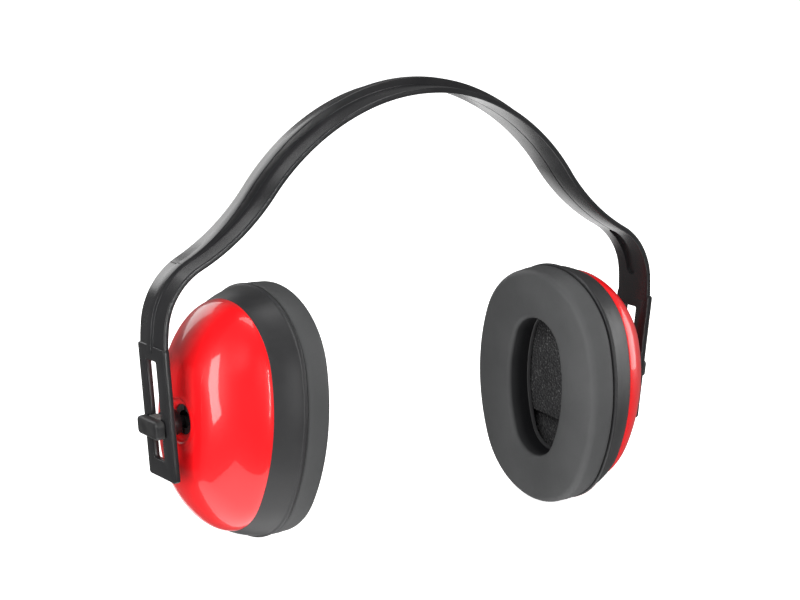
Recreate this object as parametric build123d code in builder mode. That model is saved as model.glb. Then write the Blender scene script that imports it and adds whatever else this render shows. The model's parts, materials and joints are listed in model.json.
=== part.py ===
"""Slotted-band safety earmuff: one-piece moulded band, two ear cups on sliding ball studs.

Frame: +X to the wearer's right, +Y forward, +Z up. The origin is the middle of the ear axis,
halfway between the two ear cushions. All sizes are millimetres.
"""
import os
from math import atan2, cos, degrees, radians, sin

from build123d import *

# ---------------------------------------------------------------- driving dimensions
BAND_TOP = 126.8            # ear axis to the middle of the band's thickness at the crown
BAND_THICK = 2.2
BAND_WIDTH_TOP = 27.8       # front to back at the crown
BAND_WIDTH_END = 19.8       # front to back where the band meets its end plates
BAND_INTO_PLATE = 8.0       # the band runs straight on into the plate by this much
EDGE_ROUND = 0.5
# (radius, turn in degrees) from the crown outwards; a negative radius curves the other way
BAND_ARCS = ((80.0, 20.5), (93.5, 33.1), (-90.0, 25.9), (27.5, 58.0), (96.0, 10.1))
RIB_WIDTH = 3.8
RIB_HEIGHT = 2.8            # over the crown
RIB_LOW = 0.9               # along the shoulder, down to the end plate
RIB_Y = 1.0                 # rib, slot and stud all stand this much forward of the middle

PLATE_X = 112.9             # middle of the end plate's thickness at the height of the ear axis
PLATE_LEAN = 5.75           # the two plates draw together towards their lower ends, degrees
PLATE_UP, PLATE_DOWN = 32.2, 20.9   # from the height of the stud
PLATE_WIDTH = 21.0
PLATE_THICK = 2.7
PLATE_PROUD = 0.25          # the plate's outside stands this much further out than the band's
PLATE_CORNER, SLOT_CORNER = 0.8, 0.6
SLOT_UP, SLOT_DOWN = 26.3, 13.6
SLOT_WIDTH = 8.4

POCKET_LENGTH, POCKET_WIDTH, POCKET_DEPTH = 24.0, 5.8, 1.4
GROOVE_WIDTH, GROOVE_DEPTH = 0.7, 0.3
OVERSHOOT = 2.0             # cutters reach this much past the surface they cut
FAR = 60.0                  # cutters that only have to reach past everything

GAP = 0.3                   # between parts that only slide past each other
RUN = 0.05                  # radial running clearance of pivots

BALL_X, BALL_Z = 99.7, 2.35  # ball centre: from the middle plane, and above the ear axis
BALL_DEPTH = 27.8           # rim plane to ball centre
BALL_FORWARD, BALL_ABOVE = 1.65, 0.9    # ball centre from the middle of the cup
# how the cups hang on their ball joints, in degrees
LEAN_BACK = 5.8             # the tops of both cups stand back of the band's
TURN = 6.0                  # both cups are turned this much to the left, seen from above
TOP_IN = {-1: -1.0, 1: 5.0}  # the tops of the left and right cups lean in towards the head

# the cup's rim is a four-arc oval
RIM_HALF_HEIGHT, RIM_HALF_WIDTH = 51.4, 37.0
SIDE_RADIUS, WIDEST_AT = 86.0, 1.8

RING_DEPTH, RING_INSET, RING_WALL = 12.8, 4.7, 2.2
LIP_DEPTH = 1.6
# outside of the flared ring between the rim and the shell: (depth, inset)
FLARE = ((LIP_DEPTH, 0.7), (7.4, 2.2), (RING_DEPTH, RING_INSET))
SKIRT_FROM, SKIRT_INSET, SKIRT_WALL = 3.0, 6.9, 2.0
DOME_HEIGHT, DOME_POWER, DOME_FLAT = 21.0, 1.65, 0.46
SHELL_WALL = 2.2

BALL_RADIUS, SEAT_RADIUS = 4.5, 6.8
FLOOR_ABOVE_BALL = 3.9
DISH_RADIUS, DISH_LIP = 8.8, 1.2
BOSS_BELOW_FRONT = 1.0
BOSS_RADIUS, BOSS_END = 9.3, 20.0
SEAT_TOP, SEAT_BOTTOM = 2.8, 5.6
SPLIT_WIDTH, SPLIT_BELOW = 0.8, 1.5     # crossed slots that let the seat spring over the ball
CAP_FLANGE, CAP_PLUG = 1.2, 4.0

NECK_RADIUS, COLLAR_RADIUS, COLLAR_FROM = 2.2, 5.15, 6.2
COLLAR_CHAMFER = 0.5
STUB_RADIUS, STUB_END_GAP, KNOB_SKIN = 2.45, 0.2, 1.2
BEAD, BEAD_FROM_END = 0.3, 1.0          # snap bead near the stub's end: its height and its place
BEAD_RAMP_IN, BEAD_RAMP_OUT = 0.8, 0.4
TBAR_LENGTH, TBAR_HEIGHT, TBAR_THICK = 16.5, 7.2, 3.9
TBAR_CORNER, TBAR_ROUND = 1.8, 1.1

CUSHION_THICK, CUSHION_INSET, CUSHION_BORE, CUSHION_ROUND = 12.2, 0.4, 21.1, 3.6
SKIN = 0.8
BACKPLATE = 1.5
BACKPLATE_INSET, BACKPLATE_BORE = 1.0, 21.6
SNAP_INSET, SNAP_WALL, SNAP_DEPTH, SNAP_GAP = 11.4, 1.4, 3.6, 0.1
PAD_INSET, PAD_FRONT, PAD_THICK, PAD_BOTTOM = 14.0, 0.8, 4.2, 17.0
LINER_BACK = 15.8

os.makedirs("parts", exist_ok=True)


def save(part, label):
    part.label = label
    export_step(part, f"parts/{label}.step")


# ---------------------------------------------------------------- headband
def arc_ends():
    """Distance along the band's middle line at which each arc ends."""
    ends, total = [], 0.0
    for radius, turn in BAND_ARCS:
        total += abs(radius) * radians(turn)
        ends.append(total)
    return ends


ARC_ENDS = arc_ends()


def band_point(distance, offset=0.0):
    """Point of the band's XZ profile at a distance from the crown, moved outwards by offset."""
    x, z, slope, left = 0.0, BAND_TOP, 0.0, distance
    for radius, turn in BAND_ARCS:
        run = min(left, abs(radius) * radians(turn))
        after = slope + run / radius
        x += radius * (sin(after) - sin(slope))
        z += radius * (cos(after) - cos(slope))
        slope, left = after, left - run
    x += left * cos(slope) + offset * sin(slope)
    z += -left * sin(slope) + offset * cos(slope)
    return x, z


def band_arc(start, end, offset):
    ThreePointArc(band_point(start, offset), band_point((start + end) / 2, offset), band_point(end, offset))


def rib_height(distance):
    """Full height over the crown, then easing down along the reversed bend."""
    share = min(max((distance - ARC_ENDS[1]) / (ARC_ENDS[2] - ARC_ENDS[1]), 0.0), 1.0)
    ease = share * share * (3 - 2 * share)
    return RIB_HEIGHT + (RIB_LOW - RIB_HEIGHT) * ease


def ball_centre(side):
    return Vector(side * BALL_X, RIB_Y, BALL_Z)


def plate_plane(side, distance=0.0):
    """Plane across the stud's axis: X along the wearer's front-back line, Y up the plate."""
    normal = Vector(side * cos(radians(PLATE_LEAN)), 0, -sin(radians(PLATE_LEAN)))
    return Plane(ball_centre(side) + normal * distance, x_dir=(0, side, 0), z_dir=normal)


# from the ball's centre to the middle of the band's thickness, along the stud's axis
PLATE_FROM_BALL = (PLATE_X - BALL_X) * cos(radians(PLATE_LEAN)) + BALL_Z * sin(radians(PLATE_LEAN))
STRAIGHT_END = ARC_ENDS[-1] + BAND_INTO_PLATE
PLATE_IN = PLATE_FROM_BALL - PLATE_THICK / 2 + PLATE_PROUD
PLATE_OUT = PLATE_IN + PLATE_THICK

# cutter for the blind pocket in the inside of the shoulder bend
shoulder = (ARC_ENDS[2] + ARC_ENDS[3]) / 2
inner, outer = band_point(shoulder, -BAND_THICK / 2), band_point(shoulder, BAND_THICK / 2)
inward = Vector(inner[0] - outer[0], 0, inner[1] - outer[1]).normalized()
pocket_plane = Plane((inner[0], RIB_Y, inner[1]), x_dir=(-inward.Z, 0, inward.X), z_dir=inward)

with BuildPart() as pocket_cutter:
    with BuildSketch(Plane.XZ):
        with BuildLine():
            pocket_offsets = (-BAND_THICK / 2 + POCKET_DEPTH, -BAND_THICK / 2 - OVERSHOOT)
            for offset in pocket_offsets:
                band_arc(ARC_ENDS[2], ARC_ENDS[3], offset)
            for end in ARC_ENDS[2:4]:
                Line(band_point(end, pocket_offsets[0]), band_point(end, pocket_offsets[1]))
        make_face()
    extrude(amount=BAND_WIDTH_TOP / 2, both=True)
    with BuildSketch(pocket_plane):
        SlotOverall(POCKET_LENGTH, POCKET_WIDTH)
    extrude(amount=FAR, both=True, mode=Mode.INTERSECT)

with BuildPart() as headband:
    with BuildSketch(Plane.XZ):
        with BuildLine():
            for offset in (BAND_THICK / 2, -BAND_THICK / 2):
                start = 0.0
                for end in ARC_ENDS:
                    band_arc(start, end, offset)
                    start = end
                Line(band_point(start, offset), band_point(STRAIGHT_END, offset))
            Line(band_point(STRAIGHT_END, BAND_THICK / 2), band_point(STRAIGHT_END, -BAND_THICK / 2))
            Line(band_point(0, BAND_THICK / 2), band_point(0, -BAND_THICK / 2))
        make_face()
    extrude(amount=BAND_WIDTH_TOP / 2, both=True)
    # seen from above each half narrows evenly towards its end plate
    with BuildSketch(Plane.XY.offset(-FAR)):
        with BuildLine():
            Polyline((0, -BAND_WIDTH_TOP / 2), (PLATE_X, -BAND_WIDTH_END / 2),
                     (PLATE_X + FAR, -BAND_WIDTH_END / 2), (PLATE_X + FAR, BAND_WIDTH_END / 2),
                     (PLATE_X, BAND_WIDTH_END / 2), (0, BAND_WIDTH_TOP / 2), close=True)
        make_face()
    extrude(amount=BAND_TOP + 2 * FAR, mode=Mode.INTERSECT)
    # the long outer edges, front and back
    fillet(headband.edges().filter_by(lambda e: e.length > 12 and abs(e.center().Y) > 5), EDGE_ROUND)
    # centre rib on the outside
    with BuildSketch(Plane.XZ.offset(-RIB_Y)):
        with BuildLine():
            start = 0.0
            for end in ARC_ENDS[:2]:
                band_arc(start, end, BAND_THICK / 2 + RIB_HEIGHT)
                start = end
            steps = [start + (ARC_ENDS[2] - start) * k / 6 for k in range(7)]
            # rises and falls with the band's own direction at both ends
            Spline([band_point(s, BAND_THICK / 2 + rib_height(s)) for s in steps],
                   tangents=[Vector(*band_point(s + 0.5)) - Vector(*band_point(s - 0.5))
                             for s in (steps[0], steps[-1])])
            start = ARC_ENDS[2]
            for end in ARC_ENDS[3:]:
                band_arc(start, end, BAND_THICK / 2 + RIB_LOW)
                start = end
            Line(band_point(start, BAND_THICK / 2 + RIB_LOW), band_point(start, 0))
            start = 0.0
            for end in ARC_ENDS:
                band_arc(start, end, 0)
                start = end
            Line(band_point(0, 0), band_point(0, BAND_THICK / 2 + RIB_HEIGHT))
        make_face()
    extrude(amount=RIB_WIDTH / 2, both=True)
    # shallow centre line moulded along the inside
    with BuildSketch(Plane.XZ.offset(-RIB_Y)):
        with BuildLine():
            groove_offsets = (-BAND_THICK / 2 - OVERSHOOT, -BAND_THICK / 2 + GROOVE_DEPTH)
            for offset in groove_offsets:
                start = 0.0
                for end in ARC_ENDS[:3]:
                    band_arc(start, end, offset)
                    start = end
            Line(band_point(start, groove_offsets[0]), band_point(start, groove_offsets[1]))
            Line(band_point(0, groove_offsets[0]), band_point(0, groove_offsets[1]))
        make_face()
    extrude(amount=GROOVE_WIDTH / 2, both=True, mode=Mode.SUBTRACT)
    add(pocket_cutter.part, mode=Mode.SUBTRACT)
    # flat end plate with its long slot
    plate = plate_plane(1, PLATE_IN)
    with BuildSketch(plate):
        with Locations((-RIB_Y, (PLATE_UP - PLATE_DOWN) / 2)):
            RectangleRounded(PLATE_WIDTH, PLATE_UP + PLATE_DOWN, PLATE_CORNER)
    extrude(amount=PLATE_THICK)
    with BuildSketch(plate):
        with Locations((0, (SLOT_UP - SLOT_DOWN) / 2)):
            RectangleRounded(SLOT_WIDTH, SLOT_UP + SLOT_DOWN, SLOT_CORNER)
    extrude(amount=PLATE_THICK + OVERSHOOT, both=True, mode=Mode.SUBTRACT)
    mirror(about=Plane.YZ)
save(headband.part, "headband")


# ---------------------------------------------------------------- cup outline and frames
def cup_axes(side):
    """A cup's directions: outwards along its own axis, forwards across it and up along its height."""
    lean = radians(LEAN_BACK)
    axes = (Vector(side, 0, 0), Vector(0, cos(lean), sin(lean)), Vector(0, -sin(lean), cos(lean)))
    return [axis.rotate(Axis.Y, -side * TOP_IN[side]).rotate(Axis.Z, TURN) for axis in axes]


def ball_plane(side, above=0.0):
    """Plane square to the cup's own axis through the ball's axis, at a height above its centre."""
    outwards, forwards, _ = cup_axes(side)
    return Plane(ball_centre(side) + outwards * above, x_dir=forwards * side, z_dir=outwards)


def cup_plane(side, depth=0.0):
    """Plane parallel to a cup's rim through the cup's middle, at a depth outwards from the rim."""
    outwards, forwards, up = cup_axes(side)
    middle = ball_centre(side) - forwards * BALL_FORWARD - up * BALL_ABOVE
    return Plane(middle + outwards * (depth - BALL_DEPTH), x_dir=forwards * side, z_dir=outwards)


def end_radius(reach):
    """Radius of the oval's top or bottom arc, whose far point is reach from the widest line."""
    back = SIDE_RADIUS - RIM_HALF_WIDTH
    return (SIDE_RADIUS ** 2 - back ** 2 - reach ** 2) / (2 * (SIDE_RADIUS - reach))


def cup_oval(side, depth, inset, share=1.0):
    """The rim's four-arc oval, drawn in by an even inset and then shrunk to a share of its size."""
    back = SIDE_RADIUS - RIM_HALF_WIDTH
    top = end_radius(RIM_HALF_HEIGHT - WIDEST_AT)
    bottom = end_radius(RIM_HALF_HEIGHT + WIDEST_AT)
    top_centre = RIM_HALF_HEIGHT - top
    bottom_centre = -RIM_HALF_HEIGHT + bottom
    up = degrees(atan2(top_centre - WIDEST_AT, back))
    down = degrees(atan2(bottom_centre - WIDEST_AT, back))
    arcs = ((-back, WIDEST_AT, SIDE_RADIUS, down, up - down), (0, top_centre, top, up, 180 - 2 * up),
            (back, WIDEST_AT, SIDE_RADIUS, 180 - up, up - down),
            (0, bottom_centre, bottom, 180 - down, 180 + 2 * down))
    with BuildSketch(cup_plane(side, depth)) as oval:
        with BuildLine():
            for across, height, radius, start, turn in arcs:
                CenterArc((across * share, height * share), (radius - inset) * share, start, turn)
        make_face()
    return oval.sketch


def oval_slab(side, depth_from, depth_to, inset, mode=Mode.ADD):
    extrude(cup_oval(side, depth_from, inset), amount=depth_to - depth_from, mode=mode)


def oval_loft(side, sections, mode=Mode.ADD):
    """Smooth body through (depth, inset) or (depth, inset, share) sections of the oval."""
    loft([cup_oval(side, *section) for section in sections], mode=mode)


def dome_sections(base_inset, height):
    """Sections of a dome that stands on the ring and ends in a flat front."""
    full = (1 - DOME_FLAT ** DOME_POWER) ** (1 / DOME_POWER)
    sections = []
    for share in (1.0, 0.985, 0.94, 0.86, 0.74, 0.6, DOME_FLAT):
        rise = (1 - share ** DOME_POWER) ** (1 / DOME_POWER)
        sections.append((RING_DEPTH + height * rise / full, base_inset, share))
    return sections


def sphere_at_ball(side, radius, mode=Mode.ADD):
    with Locations(Location(ball_plane(side))):
        Sphere(radius, mode=mode)


def cushion_ring(side, growth, front_round):
    """Ring of the cushion's section, grown evenly, with rounded front edges."""
    with BuildPart() as ring:
        oval_slab(side, -BACKPLATE, -CUSHION_THICK - growth, CUSHION_INSET - growth)
        oval_slab(side, -BACKPLATE, -CUSHION_THICK - growth, CUSHION_BORE + growth, mode=Mode.SUBTRACT)
        front = ring.faces().sort_by(lambda f: abs(f.center().X))[0]
        fillet(front.edges(), front_round)
    return ring.part


for side, name in ((-1, "left"), (1, "right")):
    # -------- stud: ball, neck, collar and stub, all on the plate's normal through the ball
    knob_from = PLATE_OUT + GAP
    knob_to = knob_from + TBAR_THICK
    stub_to = knob_to - KNOB_SKIN
    bead_at = stub_to - BEAD_FROM_END
    collar_to = PLATE_IN - GAP
    with BuildPart() as ball_stud:
        stud_section = Plane(plate_plane(side).origin, x_dir=plate_plane(side).x_dir,
                             z_dir=plate_plane(side).z_dir.cross(plate_plane(side).x_dir))
        with BuildSketch(stud_section):
            with BuildLine():
                neck_at = -(BALL_RADIUS ** 2 - NECK_RADIUS ** 2) ** 0.5
                ThreePointArc((0, BALL_RADIUS), (BALL_RADIUS, 0), (NECK_RADIUS, neck_at))
                Polyline((NECK_RADIUS, neck_at), (NECK_RADIUS, -COLLAR_FROM),
                         (COLLAR_RADIUS - COLLAR_CHAMFER, -COLLAR_FROM),
                         (COLLAR_RADIUS, -COLLAR_FROM - COLLAR_CHAMFER), (COLLAR_RADIUS, -collar_to),
                         (STUB_RADIUS, -collar_to), (STUB_RADIUS, -bead_at + BEAD_RAMP_IN),
                         (STUB_RADIUS + BEAD, -bead_at), (STUB_RADIUS, -bead_at - BEAD_RAMP_OUT),
                         (STUB_RADIUS, -stub_to), (0, -stub_to), (0, BALL_RADIUS))
            make_face()
        revolve(axis=Axis(plate_plane(side).origin, plate_plane(side).z_dir))
    save(ball_stud.part, f"{name}_ball_stud")

    # -------- T-bar knob with a square tongue that slides in the slot
    with BuildPart() as slider_knob:
        with BuildSketch(plate_plane(side, knob_from)):
            RectangleRounded(TBAR_LENGTH, TBAR_HEIGHT, TBAR_CORNER)
        extrude(amount=TBAR_THICK)
        outwards = Axis(plate_plane(side).origin, plate_plane(side).z_dir)
        fillet(slider_knob.faces().sort_by(outwards)[-1].edges(), TBAR_ROUND)
        with BuildSketch(plate_plane(side, PLATE_IN)):
            RectangleRounded(SLOT_WIDTH - 2 * GAP, SLOT_WIDTH - 2 * GAP, SLOT_CORNER)
        extrude(amount=knob_from - PLATE_IN)
        with BuildSketch(plate_plane(side)):
            Circle(STUB_RADIUS + RUN)
        extrude(amount=stub_to + STUB_END_GAP, mode=Mode.SUBTRACT)
        with BuildSketch(plate_plane(side, bead_at - BEAD_RAMP_IN - RUN)):
            Circle(STUB_RADIUS + BEAD + RUN)
        extrude(amount=BEAD_RAMP_IN + BEAD_RAMP_OUT + 2 * RUN, mode=Mode.SUBTRACT)
    save(slider_knob.part, f"{name}_slider_knob")

    # -------- split bush round the ball
    with BuildPart() as ball_seat:
        sphere_at_ball(side, SEAT_RADIUS)
        with BuildSketch(ball_plane(side, SEAT_TOP)):
            Circle(2 * SEAT_RADIUS)
        extrude(amount=2 * SEAT_RADIUS, mode=Mode.SUBTRACT)
        with BuildSketch(ball_plane(side, -SEAT_BOTTOM)):
            Circle(2 * SEAT_RADIUS)
        extrude(amount=-2 * SEAT_RADIUS, mode=Mode.SUBTRACT)
        sphere_at_ball(side, BALL_RADIUS + RUN, mode=Mode.SUBTRACT)
        with BuildSketch(ball_plane(side, -SPLIT_BELOW)):
            for turn in (0, 90):
                Rectangle(4 * SEAT_RADIUS, SPLIT_WIDTH, rotation=turn)
        extrude(amount=2 * SEAT_RADIUS, mode=Mode.SUBTRACT)
    save(ball_seat.part, f"{name}_ball_seat")

    # -------- glossy cup shell with its socket boss and skirt
    with BuildPart() as cup_shell:
        oval_loft(side, dome_sections(RING_INSET, DOME_HEIGHT))
        oval_slab(side, SKIRT_FROM, RING_DEPTH, SKIRT_INSET)
        oval_loft(side, dome_sections(SKIRT_INSET + SKIRT_WALL, DOME_HEIGHT - SHELL_WALL), mode=Mode.SUBTRACT)
        oval_slab(side, SKIRT_FROM, RING_DEPTH, SKIRT_INSET + SKIRT_WALL, mode=Mode.SUBTRACT)
        with BuildSketch(ball_plane(side, BOSS_END - BALL_DEPTH)):
            Circle(BOSS_RADIUS)
        extrude(amount=RING_DEPTH + DOME_HEIGHT - BOSS_BELOW_FRONT - BOSS_END)
        with BuildSketch(ball_plane(side, FLOOR_ABOVE_BALL)):
            Circle(DISH_RADIUS)
        extrude(amount=DOME_HEIGHT, mode=Mode.SUBTRACT)
        fillet(cup_shell.edges().filter_by(GeomType.CIRCLE)
               .filter_by(lambda e: abs(e.radius - DISH_RADIUS) < 0.01)
               .sort_by(lambda e: abs(e.center().X))[-1], DISH_LIP)
        sphere_at_ball(side, SEAT_RADIUS + RUN, mode=Mode.SUBTRACT)
        with BuildSketch(ball_plane(side, BOSS_END - BALL_DEPTH)):
            Circle(SEAT_RADIUS + RUN)
        extrude(amount=BALL_DEPTH - BOSS_END, mode=Mode.SUBTRACT)
    save(cup_shell.part, f"{name}_cup_shell")

    # -------- cap that closes the socket from inside the cup
    with BuildPart() as socket_cap:
        with BuildSketch(ball_plane(side, BOSS_END - BALL_DEPTH - CAP_FLANGE)):
            Circle(BOSS_RADIUS)
        extrude(amount=CAP_FLANGE)
        with BuildSketch(ball_plane(side, BOSS_END - BALL_DEPTH)):
            Circle(SEAT_RADIUS + RUN)
        extrude(amount=CAP_PLUG)
        sphere_at_ball(side, SEAT_RADIUS + RUN, mode=Mode.SUBTRACT)
    save(socket_cap.part, f"{name}_socket_cap")

    # -------- flared ring between shell and cushion
    with BuildPart() as seat_ring:
        oval_loft(side, FLARE)
        oval_slab(side, 0, LIP_DEPTH, 0)
        oval_loft(side, ((LIP_DEPTH, FLARE[0][1] + RING_WALL), (RING_DEPTH, SKIRT_INSET)), mode=Mode.SUBTRACT)
        oval_slab(side, 0, LIP_DEPTH, SNAP_INSET - SNAP_GAP, mode=Mode.SUBTRACT)
    save(seat_ring.part, f"{name}_seat_ring")

    # -------- cushion: plate, foam ring and skin
    with BuildPart() as cushion_backplate:
        oval_slab(side, -BACKPLATE, 0, BACKPLATE_INSET)
        oval_slab(side, 0, SNAP_DEPTH, SNAP_INSET)
        oval_slab(side, 0, SNAP_DEPTH, SNAP_INSET + SNAP_WALL, mode=Mode.SUBTRACT)
        oval_slab(side, -BACKPLATE, 0, BACKPLATE_BORE, mode=Mode.SUBTRACT)
    save(cushion_backplate.part, f"{name}_cushion_backplate")

    with BuildPart() as cushion_foam:
        add(cushion_ring(side, -SKIN, CUSHION_ROUND - SKIN))
    save(cushion_foam.part, f"{name}_cushion_foam")
    with BuildPart() as cushion_cover:
        add(cushion_ring(side, 0, CUSHION_ROUND))
        add(cushion_foam.part, mode=Mode.SUBTRACT)
    save(cushion_cover.part, f"{name}_cushion_cover")

    # -------- foam inside the cup
    with BuildPart() as acoustic_liner:
        oval_slab(side, PAD_FRONT + PAD_THICK, LINER_BACK, PAD_INSET)
    save(acoustic_liner.part, f"{name}_acoustic_liner")
    with BuildPart() as acoustic_pad:
        oval_slab(side, PAD_FRONT, PAD_FRONT + PAD_THICK, PAD_INSET)
        with BuildSketch(cup_plane(side, PAD_FRONT)):
            with Locations((0, -PAD_BOTTOM - RIM_HALF_HEIGHT)):
                Rectangle(4 * RIM_HALF_WIDTH, 2 * RIM_HALF_HEIGHT)
        extrude(amount=PAD_THICK, mode=Mode.SUBTRACT)
    save(acoustic_pad.part, f"{name}_acoustic_pad")
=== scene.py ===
"""Looks of the slotted-band safety earmuff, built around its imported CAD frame. Sizes are in millimetres
in the helper functions and are turned into metres where a mesh is made."""
import json
from math import acos, atan2, cos, hypot, pi, radians, sin

import bmesh
import bpy
from mathutils import Matrix, Quaternion, Vector, noise


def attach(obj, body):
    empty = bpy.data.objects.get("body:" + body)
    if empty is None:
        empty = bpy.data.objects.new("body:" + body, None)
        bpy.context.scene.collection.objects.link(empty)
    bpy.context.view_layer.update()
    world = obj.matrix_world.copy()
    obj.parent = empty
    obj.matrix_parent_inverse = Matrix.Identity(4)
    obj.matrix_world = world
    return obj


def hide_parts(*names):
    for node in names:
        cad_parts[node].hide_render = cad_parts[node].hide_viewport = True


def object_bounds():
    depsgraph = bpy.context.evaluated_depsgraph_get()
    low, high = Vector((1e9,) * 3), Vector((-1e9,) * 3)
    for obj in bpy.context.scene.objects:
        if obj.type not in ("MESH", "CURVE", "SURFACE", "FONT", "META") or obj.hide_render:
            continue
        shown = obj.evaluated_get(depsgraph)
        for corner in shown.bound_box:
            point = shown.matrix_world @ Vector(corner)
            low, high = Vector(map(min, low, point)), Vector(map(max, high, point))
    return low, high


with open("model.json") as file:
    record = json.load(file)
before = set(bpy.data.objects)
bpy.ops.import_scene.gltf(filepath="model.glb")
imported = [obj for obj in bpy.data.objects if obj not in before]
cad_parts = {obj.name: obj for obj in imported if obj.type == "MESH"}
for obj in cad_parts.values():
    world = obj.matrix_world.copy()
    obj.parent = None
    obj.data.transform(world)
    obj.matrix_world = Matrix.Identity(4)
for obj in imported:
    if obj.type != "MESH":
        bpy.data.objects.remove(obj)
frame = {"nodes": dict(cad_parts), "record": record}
cad_box = [list(corner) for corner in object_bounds()]

MM = 0.001

# ---------------------------------------------------------------- dimensions shared with the CAD
BAND_TOP, BAND_THICK = 126.8, 2.2
BAND_WIDTH_TOP, BAND_WIDTH_END = 27.8, 19.8
BAND_ARCS = ((80.0, 20.5), (93.5, 33.1), (-90.0, 25.9), (27.5, 58.0), (96.0, 10.1))
STRAP_SHORT, EDGE_ROUND = 6.2, 0.45
RIB_WIDTH, RIB_HEIGHT, RIB_LOW, RIB_Y = 3.8, 2.8, 0.9, 1.0
PLATE_X, PLATE_LEAN = 112.9, radians(5.75)
PLATE_UP, PLATE_DOWN, PLATE_WIDTH = 32.2, 20.9, 21.0
PLATE_THICK, PLATE_PROUD = 2.7, 0.25
SLOT_UP, SLOT_DOWN, SLOT_WIDTH = 26.3, 13.6, 8.4
POCKET_LENGTH, POCKET_WIDTH, POCKET_DEPTH = 25.0, 5.8, 1.4
GROOVE_WIDTH, GROOVE_DEPTH = 0.7, 0.25
GAP = 0.3
BALL_X, BALL_Z = 99.7, 2.35
BALL_DEPTH, BALL_FORWARD, BALL_ABOVE = 27.8, 1.65, 0.9
LEAN_BACK, TURN = radians(5.8), radians(6.0)
TOP_IN = {-1: radians(-1.0), 1: radians(5.0)}
RIM_HALF_HEIGHT, RIM_HALF_WIDTH = 51.4, 37.0
SIDE_RADIUS, WIDEST_AT = 86.0, 1.8
RING_DEPTH, RING_INSET = 12.8, 4.7
SKIRT_INSET = 6.9
DOME_HEIGHT, DOME_POWER, DOME_FLAT = 21.0, 1.65, 0.46
FLOOR_ABOVE_BALL, DISH_RADIUS = 3.9, 8.8
NECK_RADIUS, COLLAR_RADIUS, COLLAR_FROM = 2.2, 5.15, 6.2
TBAR_LENGTH, TBAR_HEIGHT, TBAR_THICK = 16.5, 7.2, 3.9
TBAR_CORNER = 1.8
CUSHION_THICK, CUSHION_INSET, CUSHION_BORE = 12.2, 0.4, 21.1
BACKPLATE = 1.5
CUSHION_SWELL = 0.8
PAD_INSET, PAD_FRONT, PAD_THICK, PAD_BOTTOM = 14.0, 0.8, 4.2, 17.0
PLATE_FROM_BALL = (PLATE_X - BALL_X) * cos(PLATE_LEAN) + BALL_Z * sin(PLATE_LEAN)
PLATE_IN = PLATE_FROM_BALL - PLATE_THICK / 2 + PLATE_PROUD
PLATE_OUT = PLATE_IN + PLATE_THICK

SIDES = ((-1, "left"), (1, "right"))


# ---------------------------------------------------------------- mesh helpers
def make_object(name, points, faces, smooth_angle=None):
    mesh = bpy.data.meshes.new(name)
    mesh.from_pydata([Vector(p) * MM for p in points], [], faces)
    mesh.validate()
    obj = bpy.data.objects.new(name, mesh)
    bpy.context.scene.collection.objects.link(obj)
    bm = bmesh.new()
    bm.from_mesh(mesh)
    bmesh.ops.recalc_face_normals(bm, faces=bm.faces)
    bm.to_mesh(mesh)
    bm.free()
    mesh.shade_smooth()
    if smooth_angle is not None:
        mesh.set_sharp_from_angle(angle=radians(smooth_angle))
    return obj


def loft(rings, closed_around=True, closed_along=False):
    """Quads through rings of equally many points."""
    n, count = len(rings[0]), len(rings)
    points = [p for ring in rings for p in ring]
    faces = []
    for i in range(count if closed_along else count - 1):
        j = (i + 1) % count
        for k in range(n if closed_around else n - 1):
            m = (k + 1) % n
            faces.append((i * n + k, i * n + m, j * n + m, j * n + k))
    return points, faces


def finish_piece(obj, body, material, slot, *nodes):
    obj.data.materials.clear()
    obj.data.materials.append(material)
    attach(obj, body)
    if nodes:
        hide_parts(*nodes)
    return obj


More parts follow.
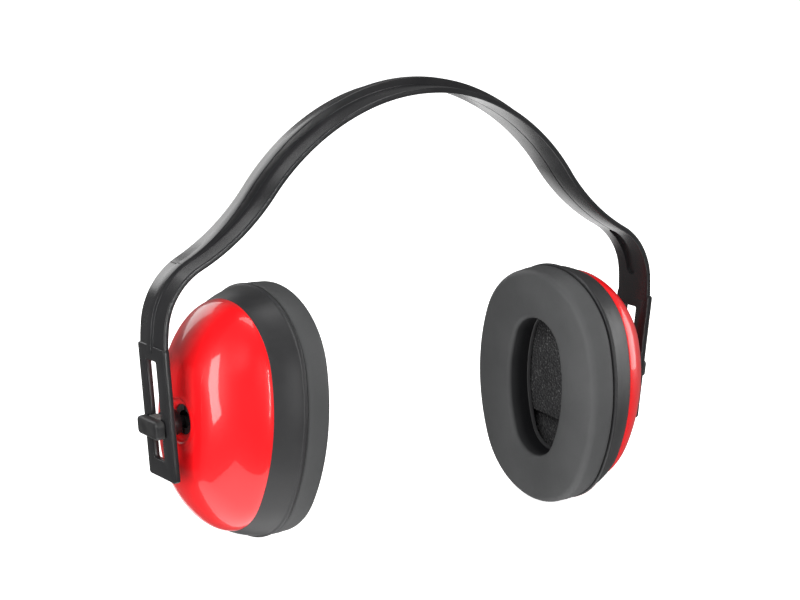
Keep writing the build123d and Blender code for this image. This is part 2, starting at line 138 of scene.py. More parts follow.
# ---------------------------------------------------------------- material helpers
class Nodes:
    """A material's node tree with short ways to add and join nodes."""

    def __init__(self, name):
        self.material = bpy.data.materials.new(name)
        self.material.use_nodes = True
        self.tree = self.material.node_tree
        self.shader = self.tree.nodes["Principled BSDF"]
        self.place = self.add("ShaderNodeTexCoord").outputs["Object"]

    def add(self, kind, **values):
        node = self.tree.nodes.new(kind)
        for key, value in values.items():
            if key in node.inputs:
                self.join(value, node.inputs[key])
            else:
                setattr(node, key, value)
        return node

    def join(self, value, socket):
        if isinstance(value, bpy.types.NodeSocket):
            self.tree.links.new(value, socket)
        else:
            socket.default_value = value

    def noise(self, scale, detail=3.0, rough=0.5, distort=0.0):
        node = self.add("ShaderNodeTexNoise", Scale=scale, Detail=detail, Roughness=rough, Distortion=distort)
        self.join(self.place, node.inputs["Vector"])
        return node.outputs["Fac"]

    def cells(self, scale, feature="F1"):
        node = self.add("ShaderNodeTexVoronoi", Scale=scale)
        node.feature = feature
        self.join(self.place, node.inputs["Vector"])
        return node.outputs["Distance"]

    def ramp(self, value, low, high, low_to, high_to):
        node = self.add("ShaderNodeMapRange")
        self.join(value, node.inputs["Value"])
        for key, number in (("From Min", low), ("From Max", high), ("To Min", low_to), ("To Max", high_to)):
            node.inputs[key].default_value = number
        return node.outputs["Result"]

    def mix(self, share, first, second):
        node = self.add("ShaderNodeMix", data_type="RGBA")
        self.join(share, node.inputs["Factor"])
        colours = [s for s in node.inputs if s.type == "RGBA"]
        self.join(first, colours[0])
        self.join(second, colours[1])
        return [s for s in node.outputs if s.type == "RGBA"][0]

    def bump(self, height, distance, strength=1.0, after=None):
        node = self.add("ShaderNodeBump", Strength=strength, Distance=distance)
        self.join(height, node.inputs["Height"])
        if after is not None:
            self.join(after, node.inputs["Normal"])
        return node.outputs["Normal"]

    def set(self, **values):
        names = {"color": "Base Color", "rough": "Roughness", "normal": "Normal", "coat": "Coat Weight",
                 "coat_rough": "Coat Roughness", "specular": "Specular IOR Level", "sheen": "Sheen Weight",
                 "sheen_rough": "Sheen Roughness", "subsurface": "Subsurface Weight",
                 "subsurface_scale": "Subsurface Scale", "subsurface_radius": "Subsurface Radius"}
        for key, value in values.items():
            self.join(value, self.shader.inputs[names[key]])
        return self.material


def band_plastic():
    n = Nodes("band_plastic")
    flow = n.noise(60, 4, 0.55)
    fine = n.noise(900, 2, 0.5)
    return n.set(color=n.mix(n.ramp(flow, 0.3, 0.7, 0, 1), (0.014, 0.014, 0.015, 1), (0.021, 0.021, 0.022, 1)),
                 rough=n.ramp(flow, 0.3, 0.7, 0.19, 0.28), specular=0.45,
                 normal=n.bump(fine, 0.00002, 0.6, n.bump(flow, 0.0001, 0.3)))


def knob_plastic():
    n = Nodes("knob_plastic")
    grain = n.noise(1500, 3, 0.6)
    patch = n.noise(220, 4, 0.6)
    edge = n.add("ShaderNodeNewGeometry").outputs["Pointiness"]
    # Lighter grey on the sharpest convex edges, found from Pointiness.
    sharp_edge_lighter = n.ramp(edge, 0.53, 0.60, 0, 1)
    base = n.mix(n.ramp(patch, 0.35, 0.65, 0, 1), (0.012, 0.012, 0.013, 1), (0.026, 0.026, 0.026, 1))
    return n.set(color=n.mix(sharp_edge_lighter, base, (0.16, 0.16, 0.155, 1)), rough=n.ramp(patch, 0.3, 0.7, 0.42, 0.60),
                 specular=0.5, normal=n.bump(grain, 0.00005, 0.6))


def stud_plastic():
    n = Nodes("stud_plastic")
    fine = n.noise(700, 3, 0.5)
    return n.set(color=(0.013, 0.013, 0.014, 1), rough=n.ramp(fine, 0.3, 0.7, 0.28, 0.38), specular=0.5,
                 normal=n.bump(fine, 0.00002, 0.5))


def shell_red():
    n = Nodes("shell_red")
    cloud = n.noise(25, 3, 0.5)
    waves = n.noise(45, 2, 0.4)
    speck = n.noise(1400, 2, 0.5)
    return n.set(color=n.mix(n.ramp(cloud, 0.3, 0.7, 0, 1), (0.86, 0.006, 0.010, 1), (0.92, 0.009, 0.013, 1)),
                 rough=n.ramp(cloud, 0.3, 0.7, 0.30, 0.36), specular=0.3, coat=0.6, coat_rough=0.05,
                 normal=n.bump(speck, 0.000008, 0.5, n.bump(waves, 0.0002, 0.15)))


def ring_plastic():
    n = Nodes("ring_plastic")
    grain = n.noise(1100, 3, 0.6)
    patch = n.noise(70, 4, 0.55)
    return n.set(color=n.mix(n.ramp(patch, 0.3, 0.7, 0, 1), (0.020, 0.020, 0.021, 1), (0.028, 0.028, 0.029, 1)),
                 rough=n.ramp(patch, 0.3, 0.7, 0.42, 0.52), specular=0.5, normal=n.bump(grain, 0.00003, 0.7))


def cushion_vinyl():
    n = Nodes("cushion_vinyl")
    pores = n.cells(1300)
    grain = n.noise(800, 4, 0.6)
    patch = n.noise(45, 4, 0.5)
    normal = n.bump(pores, 0.00006, 0.35, n.bump(grain, 0.00006, 0.5, n.bump(patch, 0.0006, 0.25)))
    # Painted shade: deep in the bore the cushion's wall is coloured near black, standing in for the shade that
    # falls there.
    inside = n.add("ShaderNodeAttribute", attribute_name="painted_bore_shade").outputs["Fac"]
    face = n.mix(n.ramp(patch, 0.3, 0.7, 0, 1), (0.062, 0.063, 0.064, 1), (0.076, 0.077, 0.078, 1))
    return n.set(color=n.mix(inside, face, (0.010, 0.010, 0.011, 1)),
                 rough=n.ramp(patch, 0.3, 0.7, 0.52, 0.62), specular=0.3,
                 normal=normal)


def liner_foam():
    n = Nodes("liner_foam")
    cells = n.cells(900)
    fleck = n.noise(1300, 3, 0.65)
    patch = n.noise(90, 4, 0.6)
    bright = n.ramp(fleck, 0.58, 0.68, 0, 1)
    dark = n.mix(n.ramp(patch, 0.35, 0.65, 0, 1), (0.006, 0.006, 0.007, 1), (0.014, 0.014, 0.015, 1))
    return n.set(color=n.mix(bright, dark, (0.12, 0.12, 0.118, 1)), rough=0.95, specular=0.15,
                 sheen=0.1, sheen_rough=0.7, normal=n.bump(cells, 0.0006, 0.9, n.bump(fleck, 0.0003, 0.8)))


def inner_plastic(name, colour, roughness):
    n = Nodes(name)
    grain = n.noise(800, 3, 0.6)
    patch = n.noise(80, 3, 0.5)
    lighter = tuple(c * 1.25 for c in colour[:3]) + (1,)
    return n.set(color=n.mix(n.ramp(patch, 0.3, 0.7, 0, 1), colour, lighter),
                 rough=n.ramp(patch, 0.3, 0.7, roughness - 0.05, roughness + 0.05), specular=0.5,
                 normal=n.bump(grain, 0.00003, 0.5))


MATERIALS = {
    "band_plastic": band_plastic(),
    "knob_plastic": knob_plastic(),
    "stud_plastic": stud_plastic(),
    "shell_red": shell_red(),
    "ring_plastic": ring_plastic(),
    "cushion_vinyl": cushion_vinyl(),
    "liner_foam": liner_foam(),
    "inner_plastic": inner_plastic("inner_plastic", (0.030, 0.030, 0.031, 1), 0.5),
    "seat_nylon": inner_plastic("seat_nylon", (0.030, 0.030, 0.031, 1), 0.4),
    "cushion_core": inner_plastic("cushion_core", (0.35, 0.34, 0.30, 1), 0.9),
}
for row in frame["record"]["subparts"]:
    node = frame["nodes"][row["node"]]
    node.data.materials.clear()
    node.data.materials.append(MATERIALS[row["material_slot"]])


# ---------------------------------------------------------------- headband
def arc_ends():
    ends, total = [], 0.0
    for radius, turn in BAND_ARCS:
        total += abs(radius) * radians(turn)
        ends.append(total)
    return ends


ARC_ENDS = arc_ends()
STRAP_END = ARC_ENDS[-1] - STRAP_SHORT      # the visible strap stops at the plate
POCKET_AT = (ARC_ENDS[2] + ARC_ENDS[3]) / 2 + 1.5


def band_frame(distance):
    """(x, z, slope) of the band's middle line at a distance from the crown, on the right-hand side."""
    x, z, slope, left = 0.0, BAND_TOP, 0.0, distance
    for radius, turn in BAND_ARCS:
        run = min(left, abs(radius) * radians(turn))
        after = slope + run / radius
        x += radius * (sin(after) - sin(slope))
        z += radius * (cos(after) - cos(slope))
        slope, left = after, left - run
    return x + left * cos(slope), z - left * sin(slope), slope


def rib_height(distance):
    share = min(max((distance - ARC_ENDS[1]) / (ARC_ENDS[2] - ARC_ENDS[1]), 0.0), 1.0)
    ease = share * share * (3 - 2 * share)
    return RIB_HEIGHT + (RIB_LOW - RIB_HEIGHT) * ease


def corner(at, start, turn, radius, steps=4):
    """Arc of points round a centre, angles in degrees."""
    return [(at[0] + radius * cos(radians(start + turn * k / steps)),
             at[1] + radius * sin(radians(start + turn * k / steps))) for k in range(steps + 1)]


def band_section(half, rib, hollow):
    """Closed (y, height) outline of the band: rounded edges, drafted centre rib, groove or pocket inside."""
    top, r = BAND_THICK / 2, EDGE_ROUND
    hw, depth = hollow
    tip, foot, draft = 0.4, 0.35, 0.25
    rib_half = RIB_WIDTH / 2
    points = corner((half - r, top - r), 0, 90, r)
    points += corner((RIB_Y + rib_half + draft + foot, top + foot), -90, -90 + 8, foot, 3)
    points += corner((RIB_Y + rib_half - tip, top + rib - tip), 8, 82, tip)
    points += corner((RIB_Y - rib_half + tip, top + rib - tip), 90, 82, tip)
    points += corner((RIB_Y - rib_half - draft - foot, top + foot), -8, -82, foot, 3)
    points += corner((-half + r, top - r), 90, 90, r)
    points += corner((-half + r, -top + r), 180, 90, r)
    points += [(RIB_Y - hw, -top), (RIB_Y - hw, -top + depth), (RIB_Y + hw, -top + depth), (RIB_Y + hw, -top)]
    points += corner((half - r, -top + r), 270, 90, r)
    return points


def band_stations():
    """(distance, groove or pocket) along one half: even steps, finer round the pocket's ends."""
    groove = (GROOVE_WIDTH / 2, GROOVE_DEPTH)
    r, straight = POCKET_WIDTH / 2, POCKET_LENGTH / 2 - POCKET_WIDTH / 2
    turn = acos(groove[0] / r)
    reach = straight + r * sin(turn)
    stations = []
    steps = int(STRAP_END)
    for k in range(steps + 1):
        s = STRAP_END * k / steps
        if s < POCKET_AT - reach:
            stations.append((s, groove))
        elif s > POCKET_AT + reach:
            stations.append((s, (groove[0], 0.0)))
    for end in (-1, 1):
        stations.append((POCKET_AT + end * reach, groove if end < 0 else (groove[0], 0.0)))
        for k in range(13):
            a = turn * k / 12
            stations.append((POCKET_AT + end * (straight + r * sin(a)), (r * cos(a), POCKET_DEPTH)))
    for k in range(1, 14):
        stations.append((POCKET_AT - straight + 2 * straight * k / 14, (r, POCKET_DEPTH)))
    # at a pocket's end the groove's ring comes on the outside of the pocket's
    return sorted(stations, key=lambda item: (item[0], (item[1][1] if item[0] < POCKET_AT else -item[1][1])))


def build_band():
    """One strap from plate to plate, swept along the band's arcs."""
    half_stations = band_stations()
    rings = []
    for side in (-1, 1):
        stations = reversed(half_stations) if side < 0 else half_stations[1:]
        for distance, hollow in stations:
            x, z, slope = band_frame(distance)
            share = min(x / PLATE_X, 1.0)
            half = (BAND_WIDTH_TOP + (BAND_WIDTH_END - BAND_WIDTH_TOP) * share) / 2
            section = band_section(half, rib_height(distance), hollow)
            rings.append([(side * (x + h * sin(slope)), y, z + h * cos(slope)) for y, h in section])
    points, faces = loft(rings)
    n = len(rings[0])
    faces += [tuple(range(n)), tuple(range(len(points) - n, len(points)))]
    return make_object("band_strap", points, faces, 40)


def plate_point(side, distance, across, up):
    """Point at a distance out from the ball centre along the stud, across along Y and up the plate."""
    c, s = cos(PLATE_LEAN), sin(PLATE_LEAN)
    return (side * (BALL_X + distance * c + up * s), RIB_Y + across, BALL_Z - distance * s + up * c)


def rounded_loop(cx, cy, width, height, radius, steps=6, along=10):
    """Rounded rectangle with a fixed count of points, starting at the right edge's lower end."""
    loop = []
    hx, hy = width / 2 - radius, height / 2 - radius
    corners = ((hx, -hy, 270), (hx, hy, 0), (-hx, hy, 90), (-hx, -hy, 180))
    for k, (x, y, start) in enumerate(corners):
        loop += [(cx + px, cy + py) for px, py in corner((x, y), start, 90, radius, steps)]
        nx, ny, nstart = corners[(k + 1) % 4]
        a, b = corner((x, y), start, 90, radius, steps)[-1], corner((nx, ny), nstart, 90, radius, steps)[0]
        loop += [(cx + a[0] + (b[0] - a[0]) * i / along, cy + a[1] + (b[1] - a[1]) * i / along)
                 for i in range(1, along)]
    return loop


def build_plate(side, name):
    """End plate with its slot, every edge bevelled."""
    outer = rounded_loop(-RIB_Y, (PLATE_UP - PLATE_DOWN) / 2, PLATE_WIDTH, PLATE_UP + PLATE_DOWN, 1.0)
    inner = rounded_loop(0, (SLOT_UP - SLOT_DOWN) / 2, SLOT_WIDTH, SLOT_UP + SLOT_DOWN, 0.8)
    bevel = ((0.0, 0.35), (0.1, 0.1), (0.35, 0.0))

    def moved(loop, centre, amount):
        """The loop drawn in (towards its centre) or out by about amount."""
        result = []
        for y, z in loop:
            dy, dz = y - centre[0], z - centre[1]
            result.append((y - amount * (1 if dy > 0 else -1) * (abs(dy) > 1),
                           z - amount * (1 if dz > 0 else -1) * (abs(dz) > SLOT_UP / 2)))
        return result

    rings = []
    oc, ic = (-RIB_Y, (PLATE_UP - PLATE_DOWN) / 2), (0, (SLOT_UP - SLOT_DOWN) / 2)
    for depth, inset in bevel:
        rings.append([plate_point(side, PLATE_IN + depth, y, z) for y, z in moved(outer, oc, inset)])
    for depth, inset in reversed(bevel):
        rings.append([plate_point(side, PLATE_OUT - depth, y, z) for y, z in moved(outer, oc, inset)])
    for depth, inset in bevel:
        rings.append([plate_point(side, PLATE_OUT - depth, y, z) for y, z in moved(inner, ic, -inset)])
    for depth, inset in reversed(bevel):
        rings.append([plate_point(side, PLATE_IN + depth, y, z) for y, z in moved(inner, ic, -inset)])
    points, faces = loft(rings, closed_along=True)
    return make_object(f"{name}_slotted_plate", points, faces, 50)


finish_piece(build_band(), "band", MATERIALS["band_plastic"], "band_plastic", "headband")
for side, name in SIDES:
    finish_piece(build_plate(side, name), "band", MATERIALS["band_plastic"], "band_plastic", "headband")


# ---------------------------------------------------------------- cups
def end_radius(reach):
    back = SIDE_RADIUS - RIM_HALF_WIDTH
    return (SIDE_RADIUS ** 2 - back ** 2 - reach ** 2) / (2 * (SIDE_RADIUS - reach))


def oval_stations(steps):
    """(centre, radius, angle) round the rim's four-arc oval, evenly spaced along each arc."""
    back = SIDE_RADIUS - RIM_HALF_WIDTH
    top, bottom = end_radius(RIM_HALF_HEIGHT - WIDEST_AT), end_radius(RIM_HALF_HEIGHT + WIDEST_AT)
    top_at, bottom_at = RIM_HALF_HEIGHT - top, bottom - RIM_HALF_HEIGHT
    up, down = atan2(top_at - WIDEST_AT, back), atan2(bottom_at - WIDEST_AT, back)
    arcs = (((-back, WIDEST_AT), SIDE_RADIUS, down, up), ((0, top_at), top, up, pi - up),
            ((back, WIDEST_AT), SIDE_RADIUS, pi - up, pi - down),
            ((0, bottom_at), bottom, pi - down, 2 * pi + down))
    total = sum(r * (b - a) for _, r, a, b in arcs)
    stations = []
    for centre, radius, start, end in arcs:
        count = max(round(steps * radius * (end - start) / total), 4)
        stations += [(centre, radius, start + (end - start) * k / count) for k in range(count)]
    return stations


OVAL = oval_stations(220)


def oval(inset):
    return [(c[0] + (r - inset) * cos(a), c[1] + (r - inset) * sin(a)) for c, r, a in OVAL]


def cup_axes(side):
    """The cup's outward, forward and upward directions."""
    turned = Matrix.Rotation(TURN, 3, "Z") @ Matrix.Rotation(-side * TOP_IN[side], 3, "Y")
    axes = ((side, 0, 0), (0, cos(LEAN_BACK), sin(LEAN_BACK)), (0, -sin(LEAN_BACK), cos(LEAN_BACK)))
    return [turned @ Vector(axis) for axis in axes]


CUP_AXES = {side: cup_axes(side) for side, _ in SIDES}


def cup_point(side, depth, across, up):
    """Point in the cup's own directions: depth outwards from the rim, across forwards, up its height."""
    outwards, forwards, upwards = CUP_AXES[side]
    return (Vector((side * BALL_X, RIB_Y, BALL_Z)) + outwards * (depth - BALL_DEPTH)
            + forwards * (across - BALL_FORWARD) + upwards * (up - BALL_ABOVE))


OVAL_OUTLINE = oval(0)


def oval_ring(side, depth, inset):
    return [cup_point(side, depth, y, z) for y, z in oval(inset)]


def smooth(share):
    share = min(max(share, 0.0), 1.0)
    return share * share * (3 - 2 * share)


def circle_ring(side, radius, depth):
    """Circle about the ball's axis, with its points in the oval's directions."""
    ring = []
    for y, z in OVAL_OUTLINE:
        length = hypot(y, z)
        ring.append(cup_point(side, depth, y * radius / length + BALL_FORWARD,
                              z * radius / length + BALL_ABOVE))
    return ring


def dome_ring(side, share, depth):
    return [cup_point(side, depth, y * share, z * share) for y, z in oval(RING_INSET)]


def smooth_min(a, b, width):
    h = max(width - abs(a - b), 0.0) / width
    return min(a, b) - h * h * width / 4


def build_shell(side, name):
    """Glossy dome with its round dished socket."""
    rings = [oval_ring(side, RING_DEPTH - 5.0, SKIRT_INSET), oval_ring(side, RING_DEPTH - 0.05, SKIRT_INSET),
             oval_ring(side, RING_DEPTH + 0.05, RING_INSET + 0.35)]
    full = (1 - DOME_FLAT ** DOME_POWER) ** (1 / DOME_POWER)
    steps, share, rise = 60, 1.0, 0.0
    for k in range(steps):
        a = k / steps * pi / 2
        share = cos(a) ** (2 / DOME_POWER)
        if share < 0.40:
            break
        rise = smooth_min(sin(a) ** (2 / DOME_POWER) / full, 1.0, 0.10)
        rings.append(dome_ring(side, share, RING_DEPTH + DOME_HEIGHT * rise))
    front = RING_DEPTH + DOME_HEIGHT
    lip = circle_ring(side, DISH_RADIUS + 2.0, front)
    for k in (0.25, 0.5, 0.75):
        rings.append([p.lerp(q, k) for p, q in zip(dome_ring(side, share * (1 - 0.3 * k), front), lip)])
    floor = BALL_DEPTH + FLOOR_ABOVE_BALL
    # (radius, depth): the raised lip, the dish's wall and floor, then the bore round the stud's neck
    profile = [(DISH_RADIUS + 2.0, front + 0.05), (DISH_RADIUS + 1.3, front + 0.28),
               (DISH_RADIUS + 0.7, front + 0.34), (DISH_RADIUS + 0.15, front + 0.12),
               (DISH_RADIUS - 0.25, front - 0.4), (DISH_RADIUS - 0.45, front - 1.0),
               (DISH_RADIUS - 0.6, floor + 0.7), (DISH_RADIUS - 1.0, floor + 0.2), (DISH_RADIUS - 1.6, floor),
               (6.6, floor), (6.2, floor - 0.15), (6.0, floor - 0.7), (5.9, floor - 2.4)]
    rings += [circle_ring(side, radius, depth) for radius, depth in profile]
    points, faces = loft(rings)
    return make_object(f"{name}_shell", points, faces, 60)


def build_ring(side, name):
    """Flared ring with a thin flat rim at the cushion."""
    profile = ((0.0, SKIRT_INSET + 4.0), (0.0, 0.4), (0.1, 0.12), (0.4, 0.0), (1.2, 0.0),
               (1.45, 0.1), (1.6, 0.35), (1.75, 0.6), (2.2, 0.78), (4.6, 1.38), (7.4, 2.2),
               (10.0, 3.25), (12.0, 4.28), (12.5, 4.52), (12.75, 4.72), (12.8, 5.0), (12.8, SKIRT_INSET), (9.0, SKIRT_INSET), (1.7, 3.2),
               (1.7, SKIRT_INSET + 4.0))
    rings = [oval_ring(side, depth, inset) for depth, inset in profile]
    points, faces = loft(rings, closed_along=True)
    return make_object(f"{name}_flared_ring", points, faces, 50)


def inflate(obj, held, pressure, cap):
    """Cloth under pressure from inside, its back edge held, and no point moving further than cap (mm)."""
    scene = bpy.context.scene
    group = obj.vertex_groups.new(name="held")
    group.add(held, 1.0, "REPLACE")
    cloth = obj.modifiers.new("cloth", "CLOTH")
    cloth.settings.use_pressure, cloth.settings.uniform_pressure_force = True, pressure
    cloth.settings.effector_weights.gravity = 0
    cloth.settings.vertex_group_mass = "held"
    for step in range(1, 21):
        scene.frame_set(step)
    puffed = obj.evaluated_get(bpy.context.evaluated_depsgraph_get()).to_mesh()
    moved = [v.co.copy() for v in puffed.vertices]
    obj.modifiers.clear()
    obj.vertex_groups.clear()
    for vertex, after in zip(obj.data.vertices, moved):
        shift = after - vertex.co
        if shift.length > cap * MM:
            shift *= cap * MM / shift.length
        vertex.co += shift
    scene.frame_set(1)


def build_cushion(side, name):
    """Soft ring: a shallowly crowned face, a soft shoulder and a side wall tucked in at the ring; the deep bore
    wall gets painted shade.
    """
    o, i, t = CUSHION_INSET, CUSHION_BORE, CUSHION_THICK
    outer_r, inner_r = 3.2, 2.2
    profile = [(-0.35, o + 2.0), (-0.45, o + 1.0), (-0.8, o + 0.35), (-1.5, o + 0.02),
               (-3.2, o - 0.12), (-5.5, o - 0.12), (-7.4, o + 0.05)]
    profile += [(-t + outer_r - outer_r * sin(radians(a)), o + 0.1 + outer_r - outer_r * cos(radians(a)))
                for a in (8, 20, 34, 48, 62, 74, 84)]
    start, end = o + 0.1 + outer_r, i - inner_r
    for k in range(1, 7):
        share = k / 7
        profile.append((-t - 0.45 * sin(pi * share) ** 0.8, start + (end - start) * share))
    profile += [(-t + inner_r - inner_r * cos(radians(a)), i - inner_r + inner_r * sin(radians(a)))
                for a in (6, 18, 32, 46, 60, 74, 86)]
    profile += [(-6.0, i + 0.12), (-3.5, i + 0.1), (-BACKPLATE - 0.3, i), (-BACKPLATE, i - 0.6)]
    rings = [oval_ring(side, depth, inset) for depth, inset in profile]
    points, faces = loft(rings, closed_along=True)
    obj = make_object(f"{name}_cushion", points, faces, 60)
    shade, held = [], []
    for depth, inset in profile:
        # Painted shade mask: 1 on the bore's deep wall, where it lies in shade, 0 on the face and shoulder.
        inside = smooth((inset - (i - 1.6)) / 1.4) * smooth((depth + t - 0.4) / 2.5)
        shade += [inside] * len(OVAL)
        held += [depth > -1.2] * len(OVAL)
    inflate(obj, [k for k, fixed in enumerate(held) if fixed], 4.0, CUSHION_SWELL)
    attribute = obj.data.attributes.new("painted_bore_shade", "FLOAT", "POINT")
    attribute.data.foreach_set("value", shade)
    return obj


def build_backplate(side, name):
    """Retaining plate under the cushion: its bore's two bevelled steps show inside the ear opening."""
    inner = CUSHION_BORE + 0.5
    profile = ((-BACKPLATE, 14.0), (-BACKPLATE, inner - 0.45), (-BACKPLATE + 0.25, inner - 0.2),
               (-0.9, inner - 0.2),
               (-0.65, inner), (-0.1, inner), (0.0, inner - 0.15), (0.0, 14.0))
    rings = [oval_ring(side, depth, inset) for depth, inset in profile]
    points, faces = loft(rings, closed_along=True)
    return make_object(f"{name}_retaining_plate", points, faces, 40)


def foam_noise(y, z, seed):
    return noise.noise(Vector((y * 0.12, z * 0.12, seed)))


def build_pad(side, name):
    """Front foam pad inside the cup, which ends short of the bottom. Its face is faintly uneven."""
    rings = []
    for depth, grow in ((PAD_FRONT + PAD_THICK, 0), (PAD_FRONT + 0.8, 0), (PAD_FRONT + 0.2, 0.4),
                        (PAD_FRONT, 1.4)):
        ring = []
        for y, z in oval(PAD_INSET + grow):
            ring.append(cup_point(side, depth, y, max(z, -PAD_BOTTOM + grow)))
        rings.append(ring)
    centre = []
    last = oval(PAD_INSET + 1.4)
    for step in range(1, 30):
        k = 1 - step / 30
        centre.append([cup_point(side, PAD_FRONT + 0.35 * foam_noise(y * k, z * k, side * 5.0), y * k,
                                 max(z, -PAD_BOTTOM + 1.4) * k) for y, z in last])
    rings += centre
    points, faces = loft(rings)
    n = len(rings[0])
    faces.append(tuple(range(len(points) - n, len(points))))
    faces.append(tuple(range(n)))
    return make_object(f"{name}_foam_pad", points, faces, 60)


def build_liner(side, name):
    """Deeper foam, seen below the front pad."""
    base = PAD_FRONT + PAD_THICK
    outline = oval(PAD_INSET)
    rings = [[cup_point(side, base + depth, y, z) for y, z in outline] for depth in (9.5, 1.2)]
    for step in range(0, 30):
        k = 1 - step / 30
        edge = 0.9 * (1 - smooth(step / 3))
        rings.append([cup_point(side, base + edge * 0.6 + 0.3 * foam_noise(y * k, z * k, side * 9.0),
                                y * k, z * k) for y, z in oval(PAD_INSET + 0.3)])
    points, faces = loft(rings)
    n = len(rings[0])
    faces.append(tuple(range(len(points) - n, len(points))))
    faces.append(tuple(range(n)))
    return make_object(f"{name}_foam_liner", points, faces, 60)


def build_knob(side, name):
    """Rounded bar with softened front edges."""
    knob_from = PLATE_OUT + GAP
    rings = []
    edge = 1.2

    def outline(inset):
        return rounded_loop(0, 0, TBAR_LENGTH - 2 * inset, TBAR_HEIGHT - 2 * inset,
                            max(TBAR_CORNER - inset, 0.25))

    for depth, inset in ((0.0, 0.5), (0.12, 0.15), (0.45, 0.0), (TBAR_THICK - edge, 0.0)):
        rings.append([plate_point(side, knob_from + depth, y, z) for y, z in outline(inset)])
    for a in (15, 30, 45, 60, 75, 90):
        depth = TBAR_THICK - edge + edge * sin(radians(a))
        rings.append([plate_point(side, knob_from + depth, y, z)
                      for y, z in outline(edge - edge * cos(radians(a)))])
    for inset in (1.6, 2.4, 3.1):
        rings.append([plate_point(side, knob_from + TBAR_THICK + 0.02, y, z) for y, z in outline(inset)])
    points, faces = loft(rings)
    n = len(rings[0])
    faces += [tuple(range(n)), tuple(range(len(points) - n, len(points)))]
    return make_object(f"{name}_knob", points, faces, 60)


def build_tongue(side, name):
    """Square tongue behind the knob, riding in the slot."""
    half = SLOT_WIDTH / 2 - GAP
    loop = rounded_loop(0, 0, 2 * half, 2 * half, 0.6)
    rings = [[plate_point(side, depth, y, z) for y, z in loop] for depth in (PLATE_IN, PLATE_OUT + GAP + 0.3)]
    points, faces = loft(rings)
    n = len(rings[0])
    faces += [tuple(range(n)), tuple(range(len(points) - n, len(points)))]
    return make_object(f"{name}_tongue", points, faces, 40)


def build_stud(side, name):
    """Neck and collar turned about the stud's axis."""
    end = PLATE_IN - GAP
    profile = [(0.01, 3.2), (NECK_RADIUS - 0.2, 3.4), (NECK_RADIUS, 3.9), (NECK_RADIUS, 5.3),
               (NECK_RADIUS + 0.3, COLLAR_FROM),
               (COLLAR_RADIUS - 0.5, COLLAR_FROM), (COLLAR_RADIUS - 0.15, COLLAR_FROM + 0.15),
               (COLLAR_RADIUS, COLLAR_FROM + 0.5), (COLLAR_RADIUS, end - 0.4),
               (COLLAR_RADIUS - 0.12, end - 0.12),
               (COLLAR_RADIUS - 0.4, end), (0.01, end)]
    rings = [[plate_point(side, d, r * cos(2 * pi * k / 64), r * sin(2 * pi * k / 64)) for k in range(64)]
             for r, d in profile]
    points, faces = loft(rings)
    return make_object(f"{name}_collar", points, faces, 40)


for side, name in SIDES:
    cup, slider = f"{name}_cup", f"{name}_slider"
    finish_piece(build_shell(side, name), cup, MATERIALS["shell_red"], "shell_red", f"{name}_cup_shell")
    finish_piece(build_ring(side, name), cup, MATERIALS["ring_plastic"], "ring_plastic", f"{name}_seat_ring")
    cushion = finish_piece(build_cushion(side, name), cup, MATERIALS["cushion_vinyl"], "cushion_vinyl",
                           f"{name}_cushion_cover", f"{name}_cushion_foam")
    finish_piece(build_backplate(side, name), cup, MATERIALS["inner_plastic"], "inner_plastic",
                 f"{name}_cushion_backplate")
    pad = finish_piece(build_pad(side, name), cup, MATERIALS["liner_foam"], "liner_foam",
                       f"{name}_acoustic_pad")
    liner = finish_piece(build_liner(side, name), cup, MATERIALS["liner_foam"], "liner_foam",
                         f"{name}_acoustic_liner")
    for build in (build_knob, build_tongue):
        finish_piece(build(side, name), slider, MATERIALS["knob_plastic"], "knob_plastic",
                     f"{name}_slider_knob")
    finish_piece(build_stud(side, name), f"{name}_stud", MATERIALS["stud_plastic"], "stud_plastic",
                 f"{name}_ball_stud")


# ---------------------------------------------------------------- floor, light and camera
def build_floor():
    """White ground for the camera only: it neither lights the object nor shows in its gloss."""
    size, height = 6.0, cad_box[0][2] - 0.0005
    mesh = bpy.data.meshes.new("floor")
    mesh.from_pydata([(-size, -size, height), (size, -size, height), (size, size, height),
                      (-size, size, height)],
                     [], [(0, 1, 2, 3)])
    floor = bpy.data.objects.new("floor", mesh)
    bpy.context.scene.collection.objects.link(floor)
    n = Nodes("floor")
    n.set(color=(0.93, 0.93, 0.93, 1), rough=0.9, specular=0.1)
    n.shader.inputs["Emission Color"].default_value = (1, 1, 1, 1)
    n.shader.inputs["Emission Strength"].default_value = 0.92
    floor.data.materials.append(n.material)
    floor.visible_diffuse = floor.visible_glossy = floor.visible_shadow = False


def add_area(name, position, target, width, height, power, roll=0.0, glossy=True):
    data = bpy.data.lights.new(name, "AREA")
    data.shape, data.size, data.size_y, data.energy = "RECTANGLE", width, height, power
    light = bpy.data.objects.new(name, data)
    light.location = position
    light.rotation_mode = "QUATERNION"
    aim = (Vector(target) - Vector(position)).to_track_quat("-Z", "Y")
    light.rotation_quaternion = aim @ Quaternion((0, 0, 1), radians(roll))
    light.visible_camera, light.visible_glossy = False, glossy
    bpy.context.scene.collection.objects.link(light)


def build_world():
    """White for the camera, dimmer studio surroundings as light."""
    world = bpy.data.worlds.new("studio")
    world.use_nodes = True
    tree = world.node_tree
    back = tree.nodes["Background"]
    back.inputs["Color"].default_value = (1, 1, 1, 1)
    back.inputs["Strength"].default_value = 0.16
    seen = tree.nodes.new("ShaderNodeBackground")
    seen.inputs["Color"].default_value = (1, 1, 1, 1)
    seen.inputs["Strength"].default_value = 1.0
    path = tree.nodes.new("ShaderNodeLightPath")
    mix = tree.nodes.new("ShaderNodeMixShader")
    tree.links.new(path.outputs["Is Camera Ray"], mix.inputs["Fac"])
    tree.links.new(back.outputs["Background"], mix.inputs[1])
    tree.links.new(seen.outputs["Background"], mix.inputs[2])
    tree.links.new(mix.outputs["Shader"], tree.nodes["World Output"].inputs["Surface"])
    bpy.context.scene.world = world


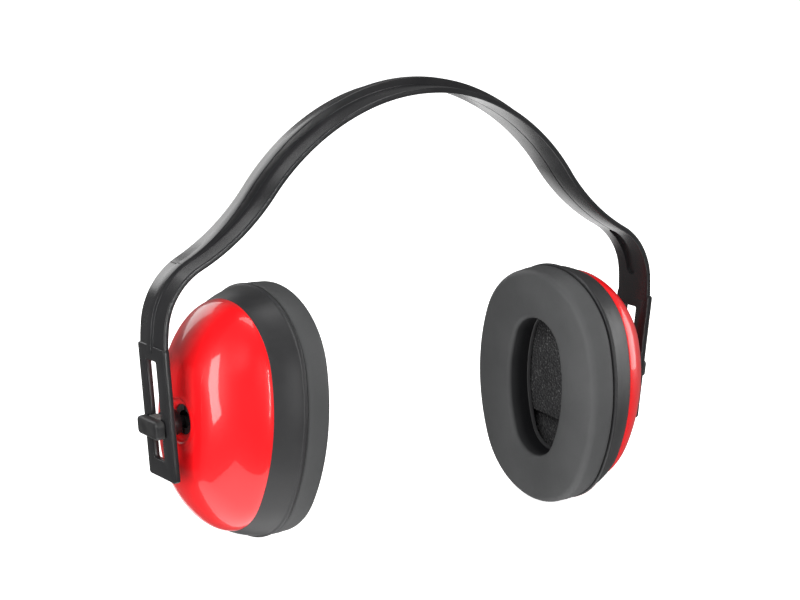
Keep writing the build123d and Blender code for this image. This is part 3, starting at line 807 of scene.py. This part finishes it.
CAMERA_AZIMUTH, CAMERA_ELEVATION, CAMERA_ROLL = 33.2, 11.18, 1.18
CAMERA_DISTANCE, CAMERA_TARGET = 1.0137, Vector((-0.00448, 0.0, 0.0405))
CAMERA_LENS, CAMERA_SENSOR = 112.76, 36.0


def build_camera():
    azimuth, elevation, roll = (radians(a) for a in (CAMERA_AZIMUTH, CAMERA_ELEVATION, CAMERA_ROLL))
    back = Vector((-sin(azimuth) * cos(elevation), -cos(azimuth) * cos(elevation), sin(elevation)))
    right = Vector((cos(azimuth), -sin(azimuth), 0.0))
    up = back.cross(right)
    turned_right = right * cos(roll) + up * sin(roll)
    turned_up = up * cos(roll) - right * sin(roll)
    data = bpy.data.cameras.new("camera")
    data.lens, data.sensor_width = CAMERA_LENS, CAMERA_SENSOR
    camera = bpy.data.objects.new("camera", data)
    basis = Matrix((turned_right, turned_up, back)).transposed().to_4x4()
    basis.translation = CAMERA_TARGET + back * CAMERA_DISTANCE
    camera.matrix_world = basis
    data.clip_start, data.clip_end = 0.05, 30.0
    bpy.context.scene.collection.objects.link(camera)
    bpy.context.scene.camera = camera


build_floor()
build_world()
add_area("strip", (-1.60, -0.28, 0.22), (-0.10, 0, 0.01), 0.30, 1.5, 16, roll=31)
add_area("key", (-1.2, -0.9, 1.0), (0, 0, 0.03), 0.8, 0.8, 22, glossy=False)
add_area("front", (-0.1, -1.7, 0.5), (0, 0, 0.02), 0.9, 0.9, 9, glossy=False)
add_area("rim", (0.45, -1.7, 0.0), (0, 0, 0.02), 0.05, 0.9, 6)
add_area("low", (-0.15, -0.2, -0.90), (-0.1499, -0.2, 0), 1.3, 1.6, 12)
add_area("sweep", (0.65, 1.35, -0.65), (0, 0, 0.05), 1.0, 0.6, 2.6)
add_area("back", (-0.25, 1.7, 0.85), (0, 0, 0.05), 0.9, 0.9, 7)
add_area("top", (0.2, 0.2, 1.7), (0, 0, 0.05), 0.9, 0.9, 12)
add_area("right", (1.7, -0.35, 0.2), (0, 0, 0.0), 1.0, 1.0, 12)
build_camera()
bpy.context.scene.view_settings.view_transform = "Standard"
